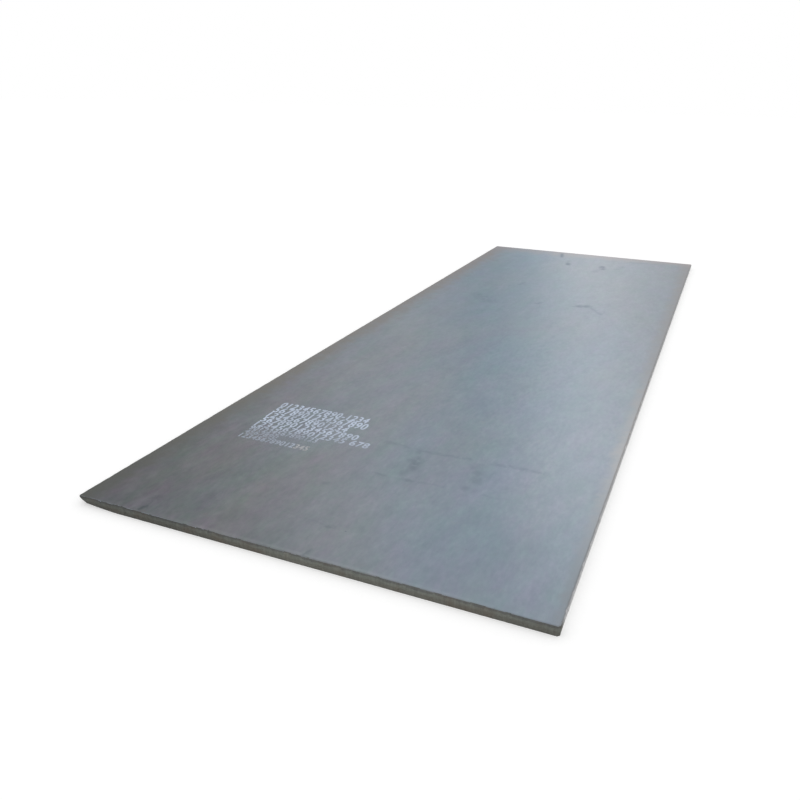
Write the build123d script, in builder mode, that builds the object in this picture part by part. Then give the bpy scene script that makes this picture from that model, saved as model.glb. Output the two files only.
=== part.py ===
from build123d import *

import os

# A hot-rolled steel plate, lying flat. It is one rolled piece, sheared to size on all four
# sides. X runs across the width, Y along the length, which is the way it was rolled, and Z up.
# The origin is at the middle of the underside, so the plate rests on Z = 0.

# Size of the plate, in millimetres
plate_width = 2000.0
plate_length = 6000.0
plate_thickness = 40.0

# Section of a sheared side, from the top face down. The blade first draws the rim of the top
# face down in a curve, and then burnishes a land that is square to the faces. Below the land
# the steel tears through, and the torn face leans in by the gap between the two blades.
rollover_reach = 9.0
rollover_depth = 5.0
land_height = 14.0
blade_gap = 2.5

# Wear of the arris round the underside, from skids and rollers
underside_wear = 1.0

# Heights worked out from the section
land_top = plate_thickness - rollover_depth
land_foot = land_top - land_height

with BuildPart() as steel_plate:
    # The section across the width runs along the plate, and the section along the length runs
    # across it. Each run overshoots, and what they share is the plate with all four sides cut.
    sections = (
        (Plane.XZ, plate_width, plate_length, Mode.ADD),
        (Plane.YZ, plate_length, plate_width, Mode.INTERSECT),
    )
    for section_plane, span, run, mode in sections:
        side = span / 2
        curve_start = side - rollover_reach
        with BuildSketch(section_plane):
            with BuildLine():
                Polyline((0, 0), (side - blade_gap, 0), (side, land_foot), (side, land_top))
                TangentArc((curve_start, plate_thickness), (side, land_top), tangent=(1, 0))
                Line((curve_start, plate_thickness), (0, plate_thickness))
                mirror(about=Plane.YZ)
            make_face()
        extrude(amount=run, both=True, mode=mode)

    underside = steel_plate.faces().sort_by(Axis.Z)[0]
    fillet(underside.edges(), underside_wear)

steel_plate.part.label = "steel_plate"

os.makedirs("parts", exist_ok=True)
export_step(steel_plate.part, "parts/steel_plate.step")
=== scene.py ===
"""Looks of a hot-rolled steel plate that lies flat on the floor.

The plate is one piece. Its mill scale, the steel torn open along its sheared sides and the
paint of its stencilled digits are what the eye meets. Sizes are in metres, in the frame of the
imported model: X across the width, Y along the length, Z up, and the underside on Z = 0.
"""

import math

import bmesh
import bpy
from mathutils import Matrix, Vector


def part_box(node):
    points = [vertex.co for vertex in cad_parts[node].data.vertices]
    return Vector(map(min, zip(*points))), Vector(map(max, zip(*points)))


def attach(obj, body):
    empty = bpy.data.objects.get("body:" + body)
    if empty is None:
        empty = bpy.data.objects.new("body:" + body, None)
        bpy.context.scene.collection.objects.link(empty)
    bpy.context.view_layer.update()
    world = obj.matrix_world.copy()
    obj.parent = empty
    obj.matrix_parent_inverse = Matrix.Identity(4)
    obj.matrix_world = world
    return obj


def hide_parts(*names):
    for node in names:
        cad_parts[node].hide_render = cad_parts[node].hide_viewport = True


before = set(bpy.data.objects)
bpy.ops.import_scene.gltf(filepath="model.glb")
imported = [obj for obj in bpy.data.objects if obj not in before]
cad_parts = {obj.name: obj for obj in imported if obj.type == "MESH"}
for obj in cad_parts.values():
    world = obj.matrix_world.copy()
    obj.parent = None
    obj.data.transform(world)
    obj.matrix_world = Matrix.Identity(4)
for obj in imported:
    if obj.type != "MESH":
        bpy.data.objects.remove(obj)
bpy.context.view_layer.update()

mm = 0.001

plate_low, plate_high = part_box("steel_plate")
plate_width = plate_high.x - plate_low.x
plate_length = plate_high.y - plate_low.y
plate_thickness = plate_high.z - plate_low.z
half_width = plate_width / 2
half_length = plate_length / 2

# Section of a sheared side, as the plate's solid has it
rollover_reach = 9 * mm
rollover_depth = 5 * mm
land_height = 14 * mm
blade_gap = 2.5 * mm
underside_wear = 1 * mm

# The worn upright corners, and how far apart the columns of the side's mesh stand
corner_wear = 10 * mm
column_step = 5 * mm

# How deep the side is pushed in at most: where the cut sways, where it is torn, where it chipped
sway_depth = 0.7 * mm
tear_depth = 2.4 * mm
chip_size = 3.4 * mm

# The flat faces are a grid, and a seam this wide joins it to the columns of the sides
seam_width = 80 * mm
grid_columns = 25
grid_rows = 75

# A face counts as sheared side where its normal's height is under this
side_slope = 0.86

# The blow that the near left corner took from below: how far it reaches, and how deep it is
bruise_reach = 210 * mm
bruise_depth = 15 * mm

# The scale lies this far under the nominal height, which leaves room for the paint on it
scale_drop = 0.3 * mm
paint_film = 0.15 * mm

# The film's foot is sunk this deep into the scale, so that it stands off it nowhere
film_sink = 0.02 * mm

# How far the paint ran out past the edges of the mask
paint_swell = 1.9 * mm

# Spacing of the digits, the step at which their outlines are cut up, and how far those waver
digit_spacing = 1.12
digit_step = 3.5 * mm
digit_waver = 3 * mm

# Where the dust of the spraying lies thickest, in millimetres off the left side and off the
# near end, how far it reaches across and along, and how strong it is
dust_middle = (510, 985)
dust_reach = (360 * mm, 290 * mm)
dust_strength = 0.07

# How far the worn rims reach in on the top face: the long sides' at the near end and at the far
# end, and the far end's at the left and at the right
left_rim_reach = (170 * mm, 290 * mm)
right_rim_reach = (60 * mm, 160 * mm)
end_rim_reach = (450 * mm, 240 * mm)

# The pale line along the near arris: how far off the near end it is full and gone, and how
# strong it is
arris_full = 12 * mm
arris_gone = 30 * mm
arris_rub = 0.13

# How far off the near end the right side is still dark, without its painted light, and where that
# painted light is full
painted_light_start = 15 * mm
painted_light_full = 60 * mm

scale_level = plate_thickness - scale_drop
land_top = plate_thickness - rollover_depth
land_foot = land_top - land_height

# Where the photograph was taken from, in metres and degrees, and its lens in millimetres on
# a sensor 36 mm wide
camera_place = Vector((1.277, -4.995, 1.611))
camera_heading = 22.95
camera_pitch = -22.39
camera_roll = 1.01
camera_lens = 34.13

# Rubs and scuffs on the top face: from and to, in millimetres off the left side and off the
# near end, then the width at which each fades out, and how dark it is from 0 to 1
rubs_and_scuffs = (
    ((945, 1004), (1010, 1000), 28, 0.28),
    ((1035, 998), (1065, 994), 22, 0.24),
    ((1140, 986), (1240, 992), 25, 0.30),
    ((1225, 990), (1365, 1002), 24, 0.32),
    ((1470, 1002), (1700, 1010), 24, 0.32),
    ((1116, 990), (1124, 960), 28, 0.36),
    ((1140, 890), (1163, 805), 48, 0.50),
    ((1160, 790), (1134, 742), 40, 0.28),
    ((1425, 965), (1404, 925), 34, 0.20),
    ((1440, 890), (1454, 805), 46, 0.38),
    ((1431, 740), (1429, 724), 30, 0.38),
    ((1476, 735), (1478, 720), 22, 0.20),
    ((1585, 812), (1589, 800), 20, 0.24),
    ((1040, 694), (1066, 694), 22, 0.32),
    ((1160, 699), (1210, 699), 20, 0.24),
    ((1184, 697), (1196, 695), 25, 0.36),
    ((1230, 698), (1345, 706), 18, 0.20),
    ((1510, 708), (1585, 706), 17, 0.20),
    ((800, 262), (1500, 254), 36, 0.07),
    ((838, 247), (1040, 228), 15, 0.13),
    ((1048, 222), (1066, 220), 22, 0.34),
    ((862, 520), (880, 526), 24, 0.26),
    ((304, 16), (315, 46), 17, 0.58),
    ((312, 66), (300, 160), 11, 0.17),
    ((1058, 14), (1066, 52), 15, 0.35),
    ((1255, 3880), (1300, 3900), 44, 0.30),
    ((1300, 3904), (1350, 3929), 72, 0.58),
    ((1392, 3900), (1490, 3745), 34, 0.34),
    ((766, 5745), (728, 5925), 30, 0.66),
    ((898, 5400), (884, 5475), 42, 0.72),
    ((880, 5470), (868, 5600), 40, 0.26),
    ((1188, 5200), (1205, 5300), 50, 0.34),
    ((1240, 5345), (1219, 5475), 46, 0.74),
    ((1370, 5400), (1400, 5560), 50, 0.24),
    ((1440, 5790), (1740, 5860), 50, 0.24),
    ((690, 4400), (700, 4500), 34, 0.26),
    ((985, 3840), (995, 3890), 38, 0.36),
    ((470, 3900), (620, 3740), 110, 0.34),
)

# Rows of the marking: the digits, how far their feet stand off the near end, their height and
# the row's width, all in millimetres. The rows start at one line off the left side, which
# drifts by this share of the way down.
marking_left = 250
marking_drift = 0.035
digit_rows = (
    ("01234567890-1234", 1156, 62, 508),
    ("5678901234567890", 1082, 70, 530),
    ("12345678901234", 1016, 60, 455),
    ("5678901234567890", 956, 56, 540),
    ("123456789012345 678", 898, 53, 625),
    ("901234567890123", 851, 44, 375),
    ("4567890", 807, 40, 180),
    ("123456789012345", 757, 44, 375),
)

# Off the near end, in millimetres: how far up the paint is thin, where it is full from, and
# the top of the last row. In that row the paint is warmer from this far off the left side on.
thin_up_to = 830
full_from = 980
last_row_top = 806
warm_from = 562

# Tones of a sheared side, by share of the way up it
side_tones = (
    (0.0, "74746e"), (0.12, "797972"), (0.46, "7a7a73"), (0.56, "7e8179"),
    (0.78, "7b7e78"), (0.86, "6a6c69"), (1.0, "676967"),
)

# The walls that gloss picks up: degrees left of straight along the plate, and how bright the
# wall is there in red and in blue
wall_stops = (
    # From the left, round behind and by the right, to straight ahead
    (-270, 0.42, 0.42), (-180, 0.55, 0.55), (-60, 0.55, 0.55), (0, 0.51, 0.53),
    # The bright strip, and the bluer wall beside it
    (7, 0.90, 0.92), (10, 0.90, 0.90), (13, 0.44, 0.63), (17, 0.35, 0.53),
    # The wall on the left, which falls off to a dark corner
    (21, 0.58, 0.63), (28, 0.51, 0.50), (35, 0.29, 0.26), (45, 0.045, 0.045),
    (57, 0.01, 0.01), (90, 0.42, 0.42),
)

# Patches of the walls: the direction of their middle, how far they reach, and what they add
wall_patches = (
    ((-0.09, 0.89, 0.45), 0.17, 0.7),
    ((-0.18, 0.96, 0.20), 0.10, 0.46),
    ((-0.12, 0.77, 0.62), 0.17, -0.42),
)

# Strength of those walls in gloss, and of the even light on everything else
wall_strength = 1.34
even_strength = 0.85


def set_inputs(node, inputs):
    """Link or set a node's inputs, by name or number.

    A node given as a value stands for its first output in use. A list links several sources,
    one after another, to an input that takes many.
    """
    for socket, given in inputs.items():
        for value in given if isinstance(given, list) else [given]:
            if isinstance(value, bpy.types.Node):
                value = next(output for output in value.outputs if output.enabled)
            if isinstance(value, bpy.types.NodeSocket):
                node.id_data.links.new(value, node.inputs[socket])
            else:
                node.inputs[socket].default_value = value


def add_node(tree, kind, inputs=None, **settings):
    """Add a node to a tree, and give it its settings and inputs."""
    made = tree.nodes.new(kind)
    for name, value in settings.items():
        setattr(made, name, value)
    set_inputs(made, inputs or {})
    return made


def new_group(name, kind, output, inputs):
    """Make a node group, whose inputs are named by type, and give it with those inputs."""
    group = bpy.data.node_groups.new(name, kind)
    label, socket = output
    group.interface.new_socket(label, in_out="OUTPUT", socket_type="NodeSocket" + socket)
    for socket, labels in inputs.items():
        for label in labels:
            group.interface.new_socket(label, in_out="INPUT", socket_type="NodeSocket" + socket)
    return group, group.nodes.new("NodeGroupInput").outputs


def linear(hex_colour):
    """Turn an sRGB colour such as "8a9299" into linear RGBA."""
    channels = [int(hex_colour[i:i + 2], 16) / 255 for i in (0, 2, 4)]
    curve = [c / 12.92 if c <= 0.04045 else ((c + 0.055) / 1.055) ** 2.4 for c in channels]
    return (*curve, 1.0)


def per_metre(size_mm):
    """Scale of a pattern whose marks are this many millimetres across."""
    return 1 / (size_mm * mm)


def new_material(name):
    """Make an empty material, with its shader and output linked."""
    material = bpy.data.materials.new(name)
    material.use_nodes = True
    tree = material.node_tree
    tree.nodes.clear()
    shader = add_node(tree, "ShaderNodeBsdfPrincipled")
    add_node(tree, "ShaderNodeOutputMaterial", {"Surface": shader})
    return material, tree, shader


def stroke_group():
    """A shader group that gives 1 on the line from one point to another, fading out at a width."""
    group, given = new_group("stroke", "ShaderNodeTree", ("Mask", "Float"), {
        "Vector": ("Place", "Start", "End"),
        "Float": ("Width",),
    })
    flat = add_node(group, "ShaderNodeVectorMath", {
        0: given["Place"], 1: (1, 1, 0),
    }, operation="MULTIPLY")
    along = add_node(group, "ShaderNodeVectorMath", {
        0: given["End"], 1: given["Start"],
    }, operation="SUBTRACT")
    from_start = add_node(group, "ShaderNodeVectorMath", {
        0: flat, 1: given["Start"],
    }, operation="SUBTRACT")
    reach = add_node(group, "ShaderNodeVectorMath", {
        0: from_start, 1: along,
    }, operation="DOT_PRODUCT")
    full = add_node(group, "ShaderNodeVectorMath", {0: along, 1: along}, operation="DOT_PRODUCT")
    part = add_node(group, "ShaderNodeMath", {
        0: reach, 1: full,
    }, operation="DIVIDE", use_clamp=True)
    foot = add_node(group, "ShaderNodeVectorMath", {0: along, "Scale": part}, operation="SCALE")
    away = add_node(group, "ShaderNodeVectorMath", {0: from_start, 1: foot}, operation="DISTANCE")
    fade = add_node(group, "ShaderNodeMapRange", {
        "Value": away, "From Min": given["Width"], "From Max": 0.0,
    }, interpolation_type="SMOOTHSTEP")
    add_node(group, "NodeGroupOutput", {"Mask": fade})
    return group


def on_plate(from_left, from_near_end):
    """A point on the top face, from millimetres off the left side and off the near end."""
    return (plate_low.x + from_left * mm, plate_low.y + from_near_end * mm, 0.0)


def fill_ramp(ramp, stops):
    """Give a colour ramp these stops, each a position and a linear RGBA colour."""
    while len(ramp.elements) < len(stops):
        ramp.elements.new(0.5)
    for element, (position, colour) in zip(ramp.elements, stops):
        element.position = position
        element.color = colour


def handling_marks(tree, place):
    """Faint dark rubs and scuffs left on the scale by skids, chains and other plates."""
    stroke = stroke_group()
    total = None
    for start, end, width, strength in rubs_and_scuffs:
        mark = add_node(tree, "ShaderNodeGroup", {
            "Place": place, "Start": on_plate(*start), "End": on_plate(*end), "Width": width * mm,
        }, node_tree=stroke)
        faint = add_node(tree, "ShaderNodeMath", {0: mark, 1: strength}, operation="MULTIPLY")
        if total is None:
            total = faint
        else:
            total = add_node(tree, "ShaderNodeMath", {0: total, 1: faint}, operation="MAXIMUM")
    return total


def side_rims(tree, place):
    """The bands where water creeps in under the scale: left side, right side and far end.

    Each is 1 at the rim and 0 inside, and ragged in between.
    """
    away = add_node(tree, "ShaderNodeSeparateXYZ", {0: place})
    wander = add_node(tree, "ShaderNodeTexNoise", {
        "Vector": place, "Scale": per_metre(70), "Detail": 6.0, "Roughness": 0.65,
    })
    ragged = add_node(tree, "ShaderNodeMapRange", {
        "Value": wander, "From Min": 0.3, "From Max": 0.7, "To Min": -0.24, "To Max": 0.24,
    })
    bands = []
    for axis, rim, (first_reach, last_reach) in (("X", -half_width, left_rim_reach),
                                                 ("X", half_width, right_rim_reach),
                                                 ("Y", half_length, end_rim_reach)):
        inwards = -1 if rim > 0 else 1
        other, half_run = ("Y", half_length) if axis == "X" else ("X", half_width)
        reach = add_node(tree, "ShaderNodeMapRange", {
            "Value": away.outputs[other], "From Min": -half_run, "From Max": half_run,
            "To Min": rim + inwards * first_reach, "To Max": rim + inwards * last_reach,
        })
        closeness = add_node(tree, "ShaderNodeMapRange", {
            "Value": away.outputs[axis], "From Min": reach, "From Max": rim,
        })
        torn = add_node(tree, "ShaderNodeMath", {0: closeness, 1: ragged}, operation="ADD")
        band = add_node(tree, "ShaderNodeMapRange", {
            "Value": torn, "From Min": 0.1, "From Max": 1.0,
        }, interpolation_type="SMOOTHSTEP")
        bands.append(band)
    return bands


def along_plate(tree, place):
    """How far along the plate a point lies, from 0 at the near end to 1 at the far end."""
    away = add_node(tree, "ShaderNodeSeparateXYZ", {0: place})
    return add_node(tree, "ShaderNodeMapRange", {
        "Value": away.outputs["Y"], "From Min": -half_length, "From Max": half_length,
    })


def rubbed_arris(tree, place):
    """The thin line along the near end where the scale is rubbed paler, away from the corners."""
    away = add_node(tree, "ShaderNodeSeparateXYZ", {0: place})
    line = add_node(tree, "ShaderNodeMapRange", {
        "Value": away.outputs["Y"], "From Min": arris_gone - half_length,
        "From Max": arris_full - half_length,
    }, interpolation_type="SMOOTHSTEP")
    aside = add_node(tree, "ShaderNodeMath", {0: away.outputs["X"]}, operation="ABSOLUTE")
    strength = add_node(tree, "ShaderNodeMapRange", {
        "Value": aside, "From Min": 0.95 * half_width, "From Max": 0.35 * half_width,
        "To Max": arris_rub,
    })
    return add_node(tree, "ShaderNodeMath", {0: line, 1: strength}, operation="MULTIPLY")


def overspray(tree, place):
    """Paint dust that settled on the scale under and round the rows of digits."""
    middle = Vector(on_plate(*dust_middle))
    moved = add_node(tree, "ShaderNodeMapping", {"Vector": place, "Location": -middle})
    shrunk = add_node(tree, "ShaderNodeVectorMath", {
        0: moved, 1: (1 / dust_reach[0], 1 / dust_reach[1], 0),
    }, operation="MULTIPLY")
    away = add_node(tree, "ShaderNodeVectorMath", {0: shrunk}, operation="LENGTH")
    dust = add_node(tree, "ShaderNodeTexNoise", {
        "Vector": place, "Scale": per_metre(30), "Detail": 5.0,
    })
    near = add_node(tree, "ShaderNodeMapRange", {
        "Value": away, "From Min": 1.1, "From Max": 0.55,
    }, interpolation_type="SMOOTHSTEP")
    settled = add_node(tree, "ShaderNodeMath", {0: near, 1: dust}, operation="MULTIPLY")
    return add_node(tree, "ShaderNodeMath", {0: settled, 1: dust_strength}, operation="MULTIPLY")


def rolled_scale_colour(tree, rolled, mottle, grain):
    """Blue-grey scale with slow brown clouds, a violet and green bloom, mottling and grain."""
    cloud = add_node(tree, "ShaderNodeTexNoise", {
        "Vector": rolled, "Scale": per_metre(420), "Detail": 3.0,
    })
    cool = add_node(tree, "ShaderNodeMapRange", {
        "Value": cloud, "From Min": 0.35, "From Max": 0.65,
    })
    tone = add_node(tree, "ShaderNodeMix", {
        0: cool, 6: linear("75716a"), 7: linear("676f73"),
    }, data_type="RGBA")
    bloom = add_node(tree, "ShaderNodeTexNoise", {
        "Vector": rolled, "Scale": per_metre(120), "Detail": 6.0, "Roughness": 0.78,
    })
    hue = add_node(tree, "ShaderNodeMapRange", {
        "Value": bloom, "From Min": 0.32, "From Max": 0.68,
    })
    film = add_node(tree, "ShaderNodeMix", {
        0: hue, 6: linear("7d677f"), 7: linear("617969"),
    }, data_type="RGBA")
    tinted = add_node(tree, "ShaderNodeMix", {0: 0.46, 6: tone, 7: film}, data_type="RGBA")
    patches = add_node(tree, "ShaderNodeMapRange", {
        "Value": mottle, "From Min": 0.3, "From Max": 0.7, "To Min": 0.80, "To Max": 1.20,
    })
    specks = add_node(tree, "ShaderNodeMapRange", {
        "Value": grain, "From Min": 0.3, "From Max": 0.7, "To Min": 0.89, "To Max": 1.11,
    })
    level = add_node(tree, "ShaderNodeMath", {0: patches, 1: specks}, operation="MULTIPLY")
    return add_node(tree, "ShaderNodeVectorMath", {0: tinted, "Scale": level}, operation="SCALE")


def rim_colours(tree, place, scale_colour, rims):
    """Lay the rims over the scale's colour, and the rubbed arris over the rims.

    A long side's rim has one colour by the near corner, then turns from a near to a far one.
    """
    left_rim, right_rim, end_rim = rims
    along = along_plate(tree, place)
    past_corner = add_node(tree, "ShaderNodeMapRange", {
        "Value": along, "From Min": 0.05, "From Max": 0.23,
    })
    rimmed = scale_colour
    for rim, corner_colour, near_colour, far_colour, turn_start, turn_end in (
            (left_rim, "5f5a4c", "6b6554", "82664a", 0.0, 1.0),
            (right_rim, "6a645c", "9a8c7c", "746452", 0.2, 0.45)):
        turned = add_node(tree, "ShaderNodeMapRange", {
            "Value": along, "From Min": turn_start, "From Max": turn_end,
        })
        weathered = add_node(tree, "ShaderNodeMix", {
            0: turned, 6: linear(near_colour), 7: linear(far_colour),
        }, data_type="RGBA")
        grimy = add_node(tree, "ShaderNodeMix", {
            0: past_corner, 6: linear(corner_colour), 7: weathered,
        }, data_type="RGBA")
        rimmed = add_node(tree, "ShaderNodeMix", {0: rim, 6: rimmed, 7: grimy}, data_type="RGBA")
    for mask, colour in ((end_rim, "8c7566"), (rubbed_arris(tree, place), "b6b7b3")):
        rimmed = add_node(tree, "ShaderNodeMix", {
            0: mask, 6: rimmed, 7: linear(colour),
        }, data_type="RGBA")
    return rimmed


def broken_marks(tree, place):
    """The marks of handling, shaken out of line and broken up, as scale takes them."""
    broken = add_node(tree, "ShaderNodeTexNoise", {
        "Vector": place, "Scale": per_metre(30), "Detail": 4.0,
    })
    shaken = add_node(tree, "ShaderNodeVectorMath", {
        0: broken.outputs["Color"], 1: (0.5, 0.5, 0.5),
    }, operation="SUBTRACT")
    drift = add_node(tree, "ShaderNodeVectorMath", {
        0: shaken, "Scale": 32 * mm,
    }, operation="SCALE")
    rough_place = add_node(tree, "ShaderNodeVectorMath", {0: place, 1: drift}, operation="ADD")
    marks = handling_marks(tree, rough_place)
    patchy = add_node(tree, "ShaderNodeMapRange", {
        "Value": broken, "From Min": 0.30, "From Max": 0.50,
    })
    return add_node(tree, "ShaderNodeMath", {0: marks, 1: patchy}, operation="MULTIPLY")


def scale_pits(tree, place):
    """A few small round pits where scale has sprung off."""
    cells = add_node(tree, "ShaderNodeTexVoronoi", {"Vector": place, "Scale": per_metre(150)})
    chance = add_node(tree, "ShaderNodeSeparateColor", {0: cells.outputs["Color"]})
    size = add_node(tree, "ShaderNodeMapRange", {
        "Value": chance.outputs["Red"], "From Min": 0.45, "To Max": 0.045,
    })
    inside = add_node(tree, "ShaderNodeMath", {
        0: size, 1: cells.outputs["Distance"],
    }, operation="SUBTRACT")
    return add_node(tree, "ShaderNodeMapRange", {
        "Value": inside, "From Max": 0.012, "To Max": 0.75,
    })


def mill_scale():
    """Hot-rolled mill scale: a hard skin of iron oxides, hematite over magnetite.

    It gives the eye a cool dark grey that shines like a worn slate at a low angle, drawn out
    along the rolling direction, and a dull brown rim where rust has begun at the sides.
    """
    material, tree, shader = new_material("mill_scale")
    place = add_node(tree, "ShaderNodeTexCoord").outputs["Object"]
    rolling = add_node(tree, "ShaderNodeMapping", {"Vector": place, "Scale": (1, 0.03, 1)})
    streaks = add_node(tree, "ShaderNodeTexNoise", {
        "Vector": rolling, "Scale": per_metre(45), "Detail": 1.0,
    })
    rolled = add_node(tree, "ShaderNodeMapping", {"Vector": place, "Scale": (1, 0.4, 1)})
    mottle = add_node(tree, "ShaderNodeTexNoise", {
        "Vector": rolled, "Scale": per_metre(75), "Detail": 5.0, "Roughness": 0.72,
    })
    grain = add_node(tree, "ShaderNodeTexNoise", {
        "Vector": rolled, "Scale": per_metre(16), "Detail": 4.0,
    })
    rims = side_rims(tree, place)
    marks = broken_marks(tree, place)

    colour = rim_colours(tree, place, rolled_scale_colour(tree, rolled, mottle, grain), rims)
    for mask, over in ((marks, "2a2c2f"), (scale_pits(tree, place), "3b3430"),
                       (overspray(tree, place), "9cc4ec")):
        colour = add_node(tree, "ShaderNodeMix", {
            0: mask, 6: colour, 7: linear(over),
        }, data_type="RGBA")
    set_inputs(shader, {"Base Color": colour, "IOR": 2.9,
                        "Specular Tint": (0.70, 0.84, 1.0, 1.0)})

    # Rust at the left side and rubs are dull. Elsewhere the gloss runs in streaks.
    dulled = add_node(tree, "ShaderNodeMath", {0: rims[0], 1: marks}, operation="MAXIMUM")
    sheen = add_node(tree, "ShaderNodeMapRange", {
        "Value": streaks, "To Min": 0.277, "To Max": 0.307,
    })
    rough = add_node(tree, "ShaderNodeMix", {0: dulled, 2: sheen, 3: 0.43})
    set_inputs(shader, {"Roughness": rough})

    # Slow waves of the plate, with the grain of the scale on them
    waves = add_node(tree, "ShaderNodeTexNoise", {
        "Vector": place, "Scale": per_metre(380), "Detail": 1.0,
    })
    waved = add_node(tree, "ShaderNodeBump", {"Height": waves, "Distance": 1.2 * mm})
    grained = add_node(tree, "ShaderNodeBump", {
        "Height": grain, "Strength": 0.5, "Distance": 0.12 * mm, "Normal": waved,
    })
    set_inputs(shader, {"Normal": grained})
    return material


def sheared_steel():
    """Steel laid bare by a heavy shear, and dulled by a first bloom of rust.

    Under the dark scale that was drawn down over the arris comes a burnished land with upright
    scores, and below it the torn face, grainy and a little browner. The side that faces right
    is painted paler, as painted light from the right, away from the near corner.
    """
    material, tree, shader = new_material("sheared_steel")
    place = add_node(tree, "ShaderNodeTexCoord").outputs["Object"]
    from_middle = add_node(tree, "ShaderNodeSeparateXYZ", {0: place})

    # The bands up the side, shifted up and down a little
    wander = add_node(tree, "ShaderNodeTexNoise", {
        "Vector": place, "Scale": per_metre(26), "Detail": 5.0,
    })
    shift = add_node(tree, "ShaderNodeMapRange", {
        "Value": wander, "From Min": 0.3, "From Max": 0.7, "To Min": -0.09, "To Max": 0.09,
    })
    share = add_node(tree, "ShaderNodeMath", {
        0: from_middle.outputs["Z"], 1: plate_thickness,
    }, operation="DIVIDE")
    zone = add_node(tree, "ShaderNodeMath", {0: share, 1: shift}, operation="ADD")
    bands = add_node(tree, "ShaderNodeValToRGB", {0: zone})
    fill_ramp(bands.color_ramp, [(share_up, linear(tone)) for share_up, tone in side_tones])

    # The scores of the blade and the crumbly grain of the steel
    upright = add_node(tree, "ShaderNodeMapping", {"Vector": place, "Scale": (1, 1, 0.08)})
    scores = add_node(tree, "ShaderNodeTexNoise", {
        "Vector": upright, "Scale": per_metre(9), "Detail": 4.0,
    })
    crumbs = add_node(tree, "ShaderNodeTexNoise", {
        "Vector": place, "Scale": per_metre(5), "Detail": 5.0,
    })
    both = add_node(tree, "ShaderNodeMath", {0: scores, 1: crumbs}, operation="ADD")
    level = add_node(tree, "ShaderNodeMapRange", {
        "Value": both, "From Min": 0.7, "From Max": 1.3, "To Min": 0.80, "To Max": 1.20,
    })

    # Painted shade, darker towards the left, a little darker again towards the right end, and a
    # first bloom of rust
    left_painted_shade = add_node(tree, "ShaderNodeMapRange", {
        "Value": from_middle.outputs["X"], "From Min": -0.55, "From Max": 0.0, "To Min": 0.66,
        "To Max": 1.0,
    })
    right_end_darkening = add_node(tree, "ShaderNodeMapRange", {
        "Value": from_middle.outputs["X"], "From Min": 0.65, "From Max": 0.95, "To Min": 1.0,
        "To Max": 0.87,
    })
    shade_and_darkening = add_node(tree, "ShaderNodeMath", {0: left_painted_shade, 1: right_end_darkening}, operation="MULTIPLY")
    shade = add_node(tree, "ShaderNodeMath", {0: level, 1: shade_and_darkening}, operation="MULTIPLY")
    worn = add_node(tree, "ShaderNodeVectorMath", {0: bands, "Scale": shade}, operation="SCALE")
    damp = add_node(tree, "ShaderNodeTexNoise", {
        "Vector": place, "Scale": per_metre(85), "Detail": 4.0,
    })
    rust = add_node(tree, "ShaderNodeMapRange", {
        "Value": damp, "From Min": 0.48, "From Max": 0.7, "To Max": 0.35,
    })
    rusted = add_node(tree, "ShaderNodeMix", {
        0: rust, 6: worn, 7: linear("6b5645"),
    }, data_type="RGBA")

    # Painted light: the side that faces right is made paler, as if lit from the right, and stays
    # dark by the near corner
    outwards = add_node(tree, "ShaderNodeTexCoord").outputs["Normal"]
    facing = add_node(tree, "ShaderNodeSeparateXYZ", {0: outwards}).outputs["X"]
    painted_light_facing = add_node(tree, "ShaderNodeMapRange", {
        "Value": facing, "From Min": 0.3, "From Max": 0.7,
    })
    off_corner = add_node(tree, "ShaderNodeMapRange", {
        "Value": from_middle.outputs["Y"], "From Min": painted_light_start - half_length,
        "From Max": painted_light_full - half_length,
    })
    painted_light_mask = add_node(tree, "ShaderNodeMath", {0: painted_light_facing, 1: off_corner}, operation="MULTIPLY")
    painted_light_tones = add_node(tree, "ShaderNodeVectorMath", {
        0: bands, 1: (1.6, 1.6, 1.7), 2: (0.30, 0.292, 0.305),
    }, operation="MULTIPLY_ADD")
    bright = add_node(tree, "ShaderNodeVectorMath", {0: painted_light_tones, "Scale": level}, operation="SCALE")
    sides = add_node(tree, "ShaderNodeMix", {0: painted_light_mask, 6: rusted, 7: bright}, data_type="RGBA")
    relief = add_node(tree, "ShaderNodeBump", {
        "Height": both, "Strength": 0.8, "Distance": 0.6 * mm,
    })
    set_inputs(shader, {"Base Color": sides, "Metallic": 0.45, "Roughness": 0.62,
                        "Normal": relief})
    return material


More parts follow.
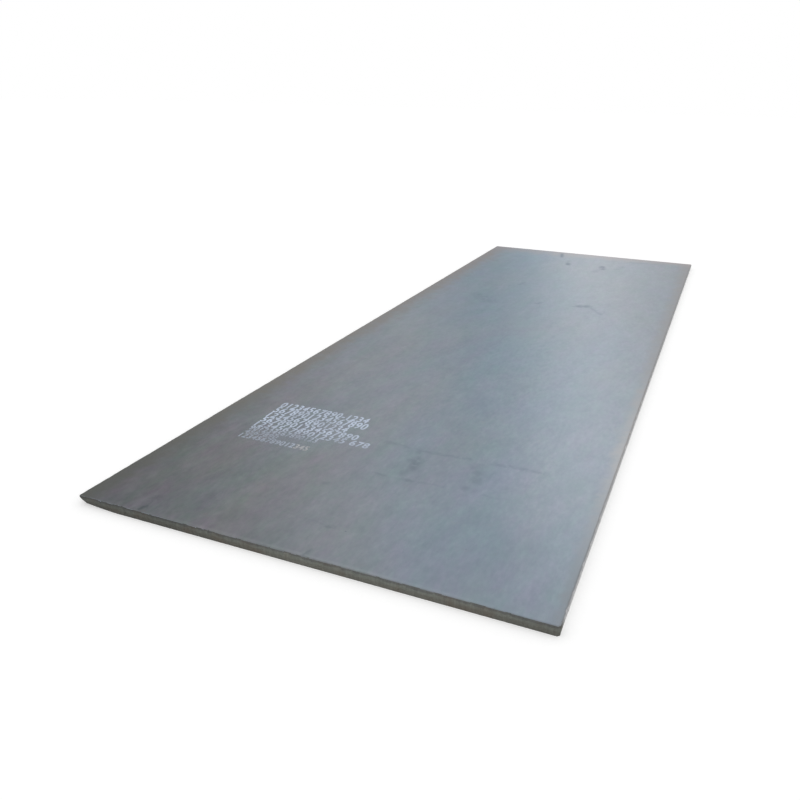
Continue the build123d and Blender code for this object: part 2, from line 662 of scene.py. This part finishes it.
def marking_paint():
    """Marking paint: a thin chalky white, sprayed through a mask on to the cold scale.

    It gives the eye soft pale digits, patchy where the scale shows through, thinner in the
    lower rows, and a warmer second colour on the last three digits of the bottom row.
    """
    material, tree, shader = new_material("marking_paint")
    place = add_node(tree, "ShaderNodeTexCoord").outputs["Object"]
    spray = add_node(tree, "ShaderNodeTexNoise", {
        "Vector": place, "Scale": per_metre(9), "Detail": 5.0,
    })
    drift = add_node(tree, "ShaderNodeTexNoise", {"Vector": place, "Scale": per_metre(140)})
    both = add_node(tree, "ShaderNodeMath", {0: spray, 1: drift}, operation="ADD")
    cover = add_node(tree, "ShaderNodeMapRange", {
        "Value": both, "From Min": 0.72, "From Max": 1.08, "To Min": 0.58, "To Max": 0.92,
    })

    # Thinner in the lower rows, but for the last digits of the last one
    across = add_node(tree, "ShaderNodeSeparateXYZ", {0: place})
    upper_rows = add_node(tree, "ShaderNodeMapRange", {
        "Value": across.outputs["Y"], "From Min": on_plate(0, thin_up_to)[1],
        "From Max": on_plate(0, full_from)[1], "To Min": 0.52,
    })
    last_digits = add_node(tree, "ShaderNodeMapRange", {
        "Value": across.outputs["X"], "From Min": on_plate(warm_from - 92, 0)[0],
        "From Max": on_plate(warm_from - 2, 0)[0], "To Min": 0.52, "To Max": 0.72,
    })
    last_row = add_node(tree, "ShaderNodeMapRange", {
        "Value": across.outputs["Y"], "From Min": on_plate(0, last_row_top + 6)[1],
        "From Max": on_plate(0, last_row_top - 6)[1], "To Max": last_digits,
    })
    thinning = add_node(tree, "ShaderNodeMath", {0: upper_rows, 1: last_row}, operation="MAXIMUM")
    laid = add_node(tree, "ShaderNodeMath", {0: cover, 1: thinning}, operation="MULTIPLY")

    # The warmer second colour
    warm_across = add_node(tree, "ShaderNodeMath", {
        0: across.outputs["X"], 1: on_plate(warm_from, 0)[0],
    }, operation="GREATER_THAN")
    warm_down = add_node(tree, "ShaderNodeMath", {
        0: across.outputs["Y"], 1: on_plate(0, last_row_top)[1],
    }, operation="LESS_THAN")
    warm = add_node(tree, "ShaderNodeMath", {0: warm_across, 1: warm_down}, operation="MULTIPLY")
    paint = add_node(tree, "ShaderNodeMix", {
        0: warm, 6: linear("cbd8ec"), 7: linear("d8dade"),
    }, data_type="RGBA")
    film = add_node(tree, "ShaderNodeMix", {
        0: laid, 6: linear("5c5d5f"), 7: paint,
    }, data_type="RGBA")
    set_inputs(shader, {"Base Color": film, "Roughness": 0.65})
    return material


def grow(tree, values):
    """Run a tree with these values for its named inputs, and give its plain mesh."""
    host = bpy.data.objects.new(tree.name, bpy.data.meshes.new(tree.name))
    bpy.context.scene.collection.objects.link(host)
    modifier = host.modifiers.new(tree.name, "NODES")
    modifier.node_group = tree
    for item in tree.interface.items_tree:
        if item.item_type == "SOCKET" and item.in_out == "INPUT":
            modifier[item.identifier] = values[item.name]
    bpy.context.view_layer.update()
    grown = host.evaluated_get(bpy.context.evaluated_depsgraph_get())
    mesh = bpy.data.meshes.new_from_object(grown)
    bpy.data.objects.remove(host)
    return mesh


def new_piece(name, mesh):
    """Put a finished mesh in the scene as a piece of the plate."""
    mesh.name = name
    piece = bpy.data.objects.new(name, mesh)
    bpy.context.scene.collection.objects.link(piece)
    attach(piece, "root")
    return piece


def section_curve():
    """Draw the sheared side's section as a curve: X is minus the inset, and Y minus the height."""
    # The section ends short of the corners' radius, so that it doesn't fold over itself there
    inner_edge = corner_wear * 0.98
    points = [(inner_edge, scale_level)]
    radius = (rollover_reach ** 2 + rollover_depth ** 2) / (2 * rollover_depth)
    sweep = 2 * math.atan2(rollover_depth, rollover_reach)
    rollover_rows = 6
    for row in range(rollover_rows):
        turn = sweep * row / rollover_rows
        drop = radius * (1 - math.cos(turn))
        points.append((rollover_reach - radius * math.sin(turn), scale_level - drop))
    land_rows = 5
    for row in range(land_rows):
        points.append((0.0, land_top - land_height * row / land_rows))
    torn_rows = 9
    torn_end = underside_wear
    for row in range(torn_rows):
        part = row / torn_rows
        points.append((blade_gap * part, land_foot - (land_foot - torn_end) * part))
    points.append((blade_gap, torn_end))
    points.append((blade_gap + underside_wear * 0.3, underside_wear * 0.3))
    points.append((blade_gap + underside_wear, 0.0))
    points.append((inner_edge, 0.0))
    curve = bpy.data.curves.new("section", "CURVE")
    curve.dimensions = "2D"
    spline = curve.splines.new("POLY")
    spline.points.add(len(points) - 1)
    for point, (inset, height) in zip(spline.points, points):
        point.co = (-inset, -height, 0, 1)
    section = bpy.data.objects.new("section", curve)
    bpy.context.scene.collection.objects.link(section)
    return section


def plate_tree():
    """Sweep the section round the plate's outline, roughen what the shear tore, and cap it."""
    tree, given = new_group("steel_plate", "GeometryNodeTree", ("Geometry", "Geometry"), {
        "Float": ("Width", "Length", "Corner Wear", "Column Step", "Top"),
        "Object": ("Section",),
        "Material": ("Scale", "Sheared"),
    })

    # The side, all round
    outline = add_node(tree, "GeometryNodeCurvePrimitiveQuadrilateral", {
        "Width": given["Width"], "Height": given["Length"],
    })
    worn = add_node(tree, "GeometryNodeFilletCurve", {
        "Curve": outline, "Radius": given["Corner Wear"],
    }, mode="BEZIER")
    columns = add_node(tree, "GeometryNodeResampleCurve", {
        "Curve": worn, "Length": given["Column Step"],
    }, mode="LENGTH")
    section = add_node(tree, "GeometryNodeObjectInfo", {"Object": given["Section"]})
    band = add_node(tree, "GeometryNodeCurveToMesh", {
        "Curve": columns, "Profile Curve": section.outputs["Geometry"],
    })
    rough = torn_relief(tree, band)

    # The two flat faces: a grid, and a seam out to the side's rim
    neighbours = add_node(tree, "GeometryNodeInputMeshEdgeNeighbors")
    rim = add_node(tree, "FunctionNodeCompare", {
        2: neighbours, 3: 1,
    }, data_type="INT", operation="EQUAL")
    place = add_node(tree, "GeometryNodeInputPosition")
    height = add_node(tree, "ShaderNodeSeparateXYZ", {0: place}).outputs["Z"]
    half_top = add_node(tree, "ShaderNodeMath", {0: given["Top"], 1: 0.5}, operation="MULTIPLY")
    upper = add_node(tree, "FunctionNodeCompare", {
        0: height, 1: half_top,
    }, operation="GREATER_THAN")
    grid_width = add_node(tree, "ShaderNodeMath", {
        0: given["Width"], 1: -2 * seam_width,
    }, operation="ADD")
    grid_length = add_node(tree, "ShaderNodeMath", {
        0: given["Length"], 1: -2 * seam_width,
    }, operation="ADD")
    grid = add_node(tree, "GeometryNodeMeshGrid", {
        "Size X": grid_width, "Size Y": grid_length, "Vertices X": grid_columns,
        "Vertices Y": grid_rows,
    })
    grid_rim = add_node(tree, "GeometryNodeMeshToCurve", {"Mesh": grid, "Selection": rim})
    caps = []
    for side, level in (("top", given["Top"]), ("underside", 0.0)):
        gate = "AND" if side == "top" else "NIMPLY"
        ring = add_node(tree, "FunctionNodeBooleanMath", {0: rim, 1: upper}, operation=gate)
        loop = add_node(tree, "GeometryNodeMeshToCurve", {"Mesh": rough, "Selection": ring})
        loops = add_node(tree, "GeometryNodeJoinGeometry", {0: [loop, grid_rim]})
        seam = add_node(tree, "GeometryNodeFillCurve", {"Curve": loops}, mode="TRIANGLES")
        face = add_node(tree, "GeometryNodeJoinGeometry", {0: [seam, grid]})
        lift = add_node(tree, "ShaderNodeCombineXYZ", {"Z": level})
        cap = add_node(tree, "GeometryNodeTransform", {"Geometry": face, "Translation": lift})
        if side == "underside":
            cap = add_node(tree, "GeometryNodeFlipFaces", {"Mesh": cap})
        caps.append(cap)

    # One closed skin, with bared steel where it stands steep
    whole = add_node(tree, "GeometryNodeJoinGeometry", {0: [rough, *caps]})
    closed = add_node(tree, "GeometryNodeMergeByDistance", {
        "Geometry": whole, "Distance": 0.05 * mm,
    })
    smooth = add_node(tree, "GeometryNodeSetShadeSmooth", {"Geometry": closed})
    scaled = add_node(tree, "GeometryNodeSetMaterial", {
        "Geometry": smooth, "Material": given["Scale"],
    })
    normal = add_node(tree, "GeometryNodeInputNormal")
    facing = add_node(tree, "ShaderNodeSeparateXYZ", {0: normal}).outputs["Z"]
    steepness = add_node(tree, "ShaderNodeMath", {0: facing}, operation="ABSOLUTE")
    side_on = add_node(tree, "FunctionNodeCompare", {
        0: steepness, 1: side_slope,
    }, operation="LESS_THAN")
    bared = add_node(tree, "GeometryNodeSetMaterial", {
        "Geometry": scaled, "Selection": side_on, "Material": given["Sheared"],
    })
    real = add_node(tree, "GeometryNodeRealizeInstances", {"Geometry": bared})
    add_node(tree, "NodeGroupOutput", {"Geometry": real})
    return tree


def torn_relief(tree, band):
    """Push the side's surface in where the shear tore or nicked it, by height and by noise."""
    place = add_node(tree, "GeometryNodeInputPosition")
    height = add_node(tree, "ShaderNodeSeparateXYZ", {0: place}).outputs["Z"]
    normal = add_node(tree, "GeometryNodeInputNormal")
    outward = add_node(tree, "ShaderNodeVectorMath", {
        0: normal, 1: (1, 1, 0),
    }, operation="MULTIPLY")

    # The line of the cut sways
    sway = add_node(tree, "ShaderNodeTexNoise", {"Vector": place, "Scale": per_metre(210)})
    swayed = add_node(tree, "ShaderNodeMapRange", {
        "Value": sway, "From Min": 0.3, "From Max": 0.7, "To Max": sway_depth,
    })

    # Below the land the steel is torn in upright ridges
    upright = add_node(tree, "ShaderNodeVectorMath", {
        0: place, 1: (1, 1, 0.3),
    }, operation="MULTIPLY")
    ridges = add_node(tree, "ShaderNodeTexNoise", {
        "Vector": upright, "Scale": per_metre(17), "Detail": 4.0,
    })
    below_land = add_node(tree, "ShaderNodeMapRange", {
        "Value": height, "From Min": land_foot + 1 * mm, "From Max": land_foot - 4 * mm,
    })
    tears = add_node(tree, "ShaderNodeMapRange", {
        "Value": ridges, "From Min": 0.3, "From Max": 0.7, "To Max": tear_depth,
    })
    torn_depth = add_node(tree, "ShaderNodeMath", {0: tears, 1: below_land}, operation="MULTIPLY")

    # The arris over the land is chipped
    chips = add_node(tree, "ShaderNodeTexNoise", {
        "Vector": upright, "Scale": per_metre(42), "Detail": 3.0,
    })
    chipped = add_node(tree, "ShaderNodeMapRange", {
        "Value": chips, "From Min": 0.52, "From Max": 0.68, "To Max": chip_size,
    })
    over_land = add_node(tree, "ShaderNodeMapRange", {
        "Value": height, "From Min": land_top - 5 * mm, "From Max": land_top - 1 * mm,
    })
    under_top = add_node(tree, "ShaderNodeMapRange", {
        "Value": height, "From Min": scale_level - 0.1 * mm, "From Max": scale_level - 2 * mm,
    })
    arris = add_node(tree, "ShaderNodeMath", {0: over_land, 1: under_top}, operation="MULTIPLY")
    chip_depth = add_node(tree, "ShaderNodeMath", {0: chipped, 1: arris}, operation="MULTIPLY")

    # The bruise at the near left corner, deeper towards the underside
    corner_near = add_node(tree, "ShaderNodeVectorMath", {
        0: place, 1: (plate_low.x, plate_low.y, 0),
    }, operation="DISTANCE")
    nearness = add_node(tree, "ShaderNodeMapRange", {
        "Value": corner_near, "From Min": bruise_reach, "From Max": 0.0,
    })
    worn_corner = add_node(tree, "ShaderNodeMath", {0: nearness, 1: 1.5}, operation="POWER")
    lowness = add_node(tree, "ShaderNodeMapRange", {
        "Value": height, "From Min": land_top, "From Max": 0.0,
    })
    struck = add_node(tree, "ShaderNodeMath", {0: worn_corner, 1: lowness}, operation="MULTIPLY")
    bruise = add_node(tree, "ShaderNodeVectorMath", {
        0: (bruise_depth, bruise_depth, 0), "Scale": struck,
    }, operation="SCALE")

    # All of it pushes the surface in, and a chip also sinks it
    inward = add_node(tree, "ShaderNodeMath", {0: swayed, 1: torn_depth}, operation="ADD")
    depth = add_node(tree, "ShaderNodeMath", {0: inward, 1: chip_depth}, operation="ADD")
    back = add_node(tree, "ShaderNodeMath", {0: depth, 1: -1.0}, operation="MULTIPLY")
    push = add_node(tree, "ShaderNodeVectorMath", {0: outward, "Scale": back}, operation="SCALE")
    sink = add_node(tree, "ShaderNodeMath", {0: chip_depth, 1: -0.5}, operation="MULTIPLY")
    drop = add_node(tree, "ShaderNodeCombineXYZ", {"Z": sink})
    worn = add_node(tree, "ShaderNodeVectorMath", {0: push, 1: drop}, operation="ADD")
    offset = add_node(tree, "ShaderNodeVectorMath", {0: worn, 1: bruise}, operation="ADD")
    return add_node(tree, "GeometryNodeSetPosition", {"Geometry": band, "Offset": offset})


def row_tree():
    """Set one row of digits in a box on the top face, as a thin closed film of paint."""
    tree, given = new_group("digit_row", "GeometryNodeTree", ("Geometry", "Geometry"), {
        "String": ("Digits",),
        "Float": ("Left", "Foot", "Width", "Height", "Level", "Film", "Swell"),
        "Material": ("Paint",),
    })

    # The digits, stretched to fill the row's box
    written = add_node(tree, "GeometryNodeStringToCurves", {
        "String": given["Digits"], "Character Spacing": digit_spacing,
    })
    outlines = add_node(tree, "GeometryNodeRealizeInstances", {"Geometry": written})
    box = add_node(tree, "GeometryNodeBoundBox", {"Geometry": outlines, "Use Radius": False})
    back = add_node(tree, "ShaderNodeVectorMath", {
        0: box.outputs["Min"], "Scale": -1.0,
    }, operation="SCALE")
    at_corner = add_node(tree, "GeometryNodeTransform", {
        "Geometry": outlines, "Translation": back,
    })
    extent = add_node(tree, "ShaderNodeVectorMath", {
        0: box.outputs["Max"], 1: box.outputs["Min"],
    }, operation="SUBTRACT")
    extents = add_node(tree, "ShaderNodeSeparateXYZ", {0: extent})
    stretch_x = add_node(tree, "ShaderNodeMath", {
        0: given["Width"], 1: extents.outputs["X"],
    }, operation="DIVIDE")
    stretch_y = add_node(tree, "ShaderNodeMath", {
        0: given["Height"], 1: extents.outputs["Y"],
    }, operation="DIVIDE")
    stretch = add_node(tree, "ShaderNodeCombineXYZ", {"X": stretch_x, "Y": stretch_y, "Z": 1.0})
    corner = add_node(tree, "ShaderNodeCombineXYZ", {"X": given["Left"], "Y": given["Foot"]})
    fitted = add_node(tree, "GeometryNodeTransform", {
        "Geometry": at_corner, "Scale": stretch, "Translation": corner,
    })

    # Their outlines, run out and wavering as sprayed paint leaves them
    points = add_node(tree, "GeometryNodeResampleCurve", {
        "Curve": fitted, "Length": digit_step,
    }, mode="LENGTH")
    place = add_node(tree, "GeometryNodeInputPosition")
    bleed = add_node(tree, "ShaderNodeTexNoise", {"Vector": place, "Scale": per_metre(6)})
    centred = add_node(tree, "ShaderNodeVectorMath", {
        0: bleed.outputs["Color"], 1: (0.5, 0.5, 0.5),
    }, operation="SUBTRACT")
    wobble = add_node(tree, "ShaderNodeVectorMath", {
        0: centred, 1: (digit_waver, digit_waver, 0),
    }, operation="MULTIPLY")
    tangent = add_node(tree, "GeometryNodeInputTangent")
    aside = add_node(tree, "ShaderNodeVectorMath", {
        0: tangent, 1: (0, 0, 1),
    }, operation="CROSS_PRODUCT")
    swell = add_node(tree, "ShaderNodeVectorMath", {
        0: aside, "Scale": given["Swell"],
    }, operation="SCALE")
    spread = add_node(tree, "ShaderNodeVectorMath", {0: wobble, 1: swell}, operation="ADD")
    soft = add_node(tree, "GeometryNodeSetPosition", {"Geometry": points, "Offset": spread})

    # The film, closed above and below
    filled = add_node(tree, "GeometryNodeFillCurve", {"Curve": soft}, mode="TRIANGLES")
    lift = add_node(tree, "ShaderNodeCombineXYZ", {"Z": given["Level"]})
    sheet = add_node(tree, "GeometryNodeTransform", {"Geometry": filled, "Translation": lift})
    thick = add_node(tree, "GeometryNodeExtrudeMesh", {
        "Mesh": sheet, "Offset Scale": given["Film"], "Individual": False,
    }, mode="FACES")
    under = add_node(tree, "GeometryNodeFlipFaces", {"Mesh": sheet})
    both = add_node(tree, "GeometryNodeJoinGeometry", {0: [thick, under]})
    closed = add_node(tree, "GeometryNodeMergeByDistance", {
        "Geometry": both, "Distance": 0.01 * mm,
    })
    real = add_node(tree, "GeometryNodeRealizeInstances", {"Geometry": closed})
    painted = add_node(tree, "GeometryNodeSetMaterial", {
        "Geometry": real, "Material": given["Paint"],
    })
    add_node(tree, "NodeGroupOutput", {"Geometry": painted})
    return tree


def joined(meshes):
    """Join meshes that share their materials into one."""
    whole = bmesh.new()
    for mesh in meshes:
        whole.from_mesh(mesh)
    result = meshes[0].copy()
    whole.to_mesh(result)
    whole.free()
    for mesh in meshes:
        bpy.data.meshes.remove(mesh)
    return result


def stencilled_digits():
    """Rows of plain digits in white paint, near the left side, read from the near end."""
    tree = row_tree()
    paint = marking_paint()
    rows = []
    for digits, foot, height, width in digit_rows:
        drift = (digit_rows[0][1] - foot) * marking_drift
        left, row_foot = on_plate(marking_left + drift, foot)[:2]
        rows.append(grow(tree, {
            "Digits": digits,
            "Left": left,
            "Foot": row_foot,
            "Width": width * mm,
            "Height": height * mm,
            "Level": scale_level - film_sink,
            "Film": paint_film,
            "Swell": paint_swell,
            "Paint": paint,
        }))
    return new_piece("stencilled_digits", joined(rows))


def plate_body():
    """The plate itself, from one section swept round its outline."""
    section = section_curve()
    mesh = grow(plate_tree(), {
        "Width": plate_width,
        "Length": plate_length,
        "Corner Wear": corner_wear,
        "Column Step": column_step,
        "Top": scale_level,
        "Section": section,
        "Scale": mill_scale(),
        "Sheared": sheared_steel(),
    })
    bpy.data.objects.remove(section)
    piece = new_piece("rolled_plate", mesh)
    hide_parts("steel_plate")
    return piece


def place_camera():
    """Stand the camera where the photograph was taken from."""
    data = bpy.data.cameras.new("camera")
    data.lens = camera_lens
    data.sensor_width = 36.0
    data.clip_end = 300.0
    camera = bpy.data.objects.new("camera", data)
    turn = Matrix.Rotation(math.radians(camera_heading), 4, "Z")
    tilt = Matrix.Rotation(math.radians(90 + camera_pitch), 4, "X")
    roll = Matrix.Rotation(math.radians(camera_roll), 4, "Z")
    camera.matrix_world = Matrix.Translation(camera_place) @ turn @ tilt @ roll
    bpy.context.scene.collection.objects.link(camera)
    bpy.context.scene.camera = camera


def studio_floor():
    """A plain white floor that keeps the plate's shadow."""
    reach = 60.0
    mesh = bpy.data.meshes.new("floor")
    corners = [(-reach, -reach, 0), (reach, -reach, 0), (reach, reach, 0), (-reach, reach, 0)]
    mesh.from_pydata(corners, [], [(0, 1, 2, 3)])
    floor = bpy.data.objects.new("floor", mesh)
    bpy.context.scene.collection.objects.link(floor)
    material, tree, shader = new_material("floor_paint")
    # The camera sees the floor brighter than the light makes it
    seen = add_node(tree, "ShaderNodeLightPath").outputs["Is Camera Ray"]
    lift = add_node(tree, "ShaderNodeMath", {0: seen, 1: 0.35}, operation="MULTIPLY")
    set_inputs(shader, {"Base Color": (0.8, 0.8, 0.8, 1), "Roughness": 0.9,
                        "Specular IOR Level": 0.0, "Emission Color": (1, 1, 1, 1),
                        "Emission Strength": lift})
    mesh.materials.append(material)


def studio_world():
    """White walls for the camera, even light on the surfaces, and uneven walls in their gloss."""
    world = bpy.data.worlds.new("studio")
    bpy.context.scene.world = world
    world.use_nodes = True
    world.cycles.sampling_method = "NONE"
    tree = world.node_tree
    tree.nodes.clear()
    heading = add_node(tree, "ShaderNodeTexCoord").outputs["Generated"]
    around = add_node(tree, "ShaderNodeTexGradient", {0: heading}, gradient_type="RADIAL")
    walls = add_node(tree, "ShaderNodeValToRGB", {0: around.outputs["Fac"]})
    fill_ramp(walls.color_ramp, [
        (0.75 + left_of_y / 360, (red, red + (blue - red) * 0.6, blue, 1))
        for left_of_y, red, blue in wall_stops])

    # How bright the walls are at each height, and in their patches
    height = add_node(tree, "ShaderNodeSeparateXYZ", {0: heading}).outputs["Z"]
    rise = add_node(tree, "ShaderNodeMapRange", {
        "Value": height, "From Min": 0.31, "From Max": 0.49, "To Min": 0.85, "To Max": 1.18,
    }, interpolation_type="SMOOTHSTEP")
    fall = add_node(tree, "ShaderNodeMapRange", {
        "Value": height, "From Min": 0.47, "From Max": 0.64, "To Min": 1.0, "To Max": 0.88,
    })
    level = add_node(tree, "ShaderNodeMath", {0: rise, 1: fall}, operation="MULTIPLY")
    for centre, reach, gain in wall_patches:
        away = add_node(tree, "ShaderNodeVectorMath", {
            0: heading, 1: centre,
        }, operation="DISTANCE")
        patch = add_node(tree, "ShaderNodeMapRange", {
            "Value": away, "From Min": reach, "From Max": reach / 4, "To Max": gain,
        }, interpolation_type="SMOOTHSTEP")
        level = add_node(tree, "ShaderNodeMath", {0: level, 1: patch}, operation="ADD")
    strength = add_node(tree, "ShaderNodeMath", {0: level, 1: wall_strength}, operation="MULTIPLY")

    # What each kind of ray meets
    path = add_node(tree, "ShaderNodeLightPath")
    glossy = add_node(tree, "ShaderNodeMath", {
        0: path.outputs["Is Glossy Ray"], 1: path.outputs["Is Transmission Ray"],
    }, operation="MAXIMUM")
    even = add_node(tree, "ShaderNodeBackground", {
        "Color": (1, 1, 1, 1), "Strength": even_strength,
    })
    wall = add_node(tree, "ShaderNodeBackground", {"Color": walls, "Strength": strength})
    white = add_node(tree, "ShaderNodeBackground", {"Color": (1, 1, 1, 1)})
    lit = add_node(tree, "ShaderNodeMixShader", {0: glossy, 1: even, 2: wall})
    shown = add_node(tree, "ShaderNodeMixShader", {
        0: path.outputs["Is Camera Ray"], 1: lit, 2: white,
    })
    add_node(tree, "ShaderNodeOutputWorld", {"Surface": shown})


place_camera()
plate_body()
stencilled_digits()
studio_floor()
studio_world()

bpy.context.scene.view_settings.view_transform = "Standard"
